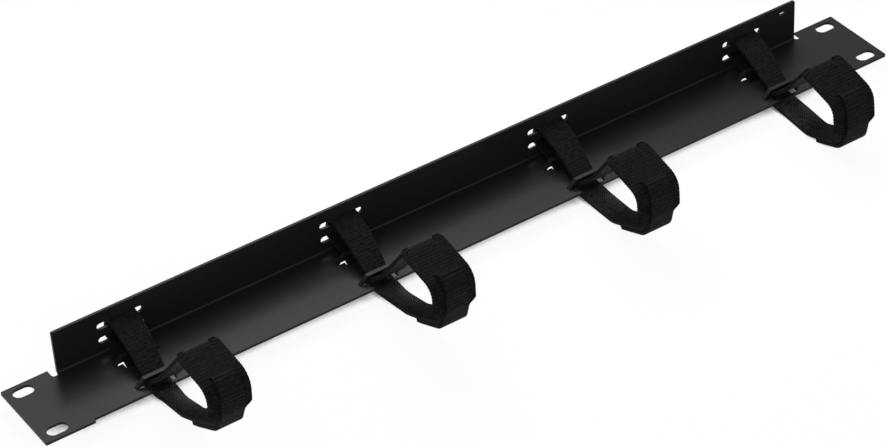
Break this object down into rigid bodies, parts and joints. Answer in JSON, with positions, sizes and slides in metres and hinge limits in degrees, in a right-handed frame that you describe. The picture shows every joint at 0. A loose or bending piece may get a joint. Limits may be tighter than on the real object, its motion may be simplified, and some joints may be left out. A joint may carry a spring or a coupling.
{
  "type": "rack cable management panel",
  "caption": "Folded sheet rack panel with slotted ears, an upright rear flange and hook-and-loop straps that gather cables in open loops along its front.",
  "frame": {"origin": "centre of the four ear slots, on the rear face that lies against the rack", "axes": "+X along the panel's length, +Y from the open front edge to the flange, +Z out of the plate, the way the flange stands"},
  "size_m": [0.4826, 0.1072, 0.0539],
  "materials": {
    "panel_coat": "satin black powder coat",
    "strap_fabric": "matte black ribbed hook-and-loop strip"
  },
  "bodies": {
    "root": {"panel": "panel_coat", "strap_1": "strap_fabric", "strap_2": "strap_fabric", "strap_3": "strap_fabric", "strap_4": "strap_fabric"}
  },
  "joints": []
}
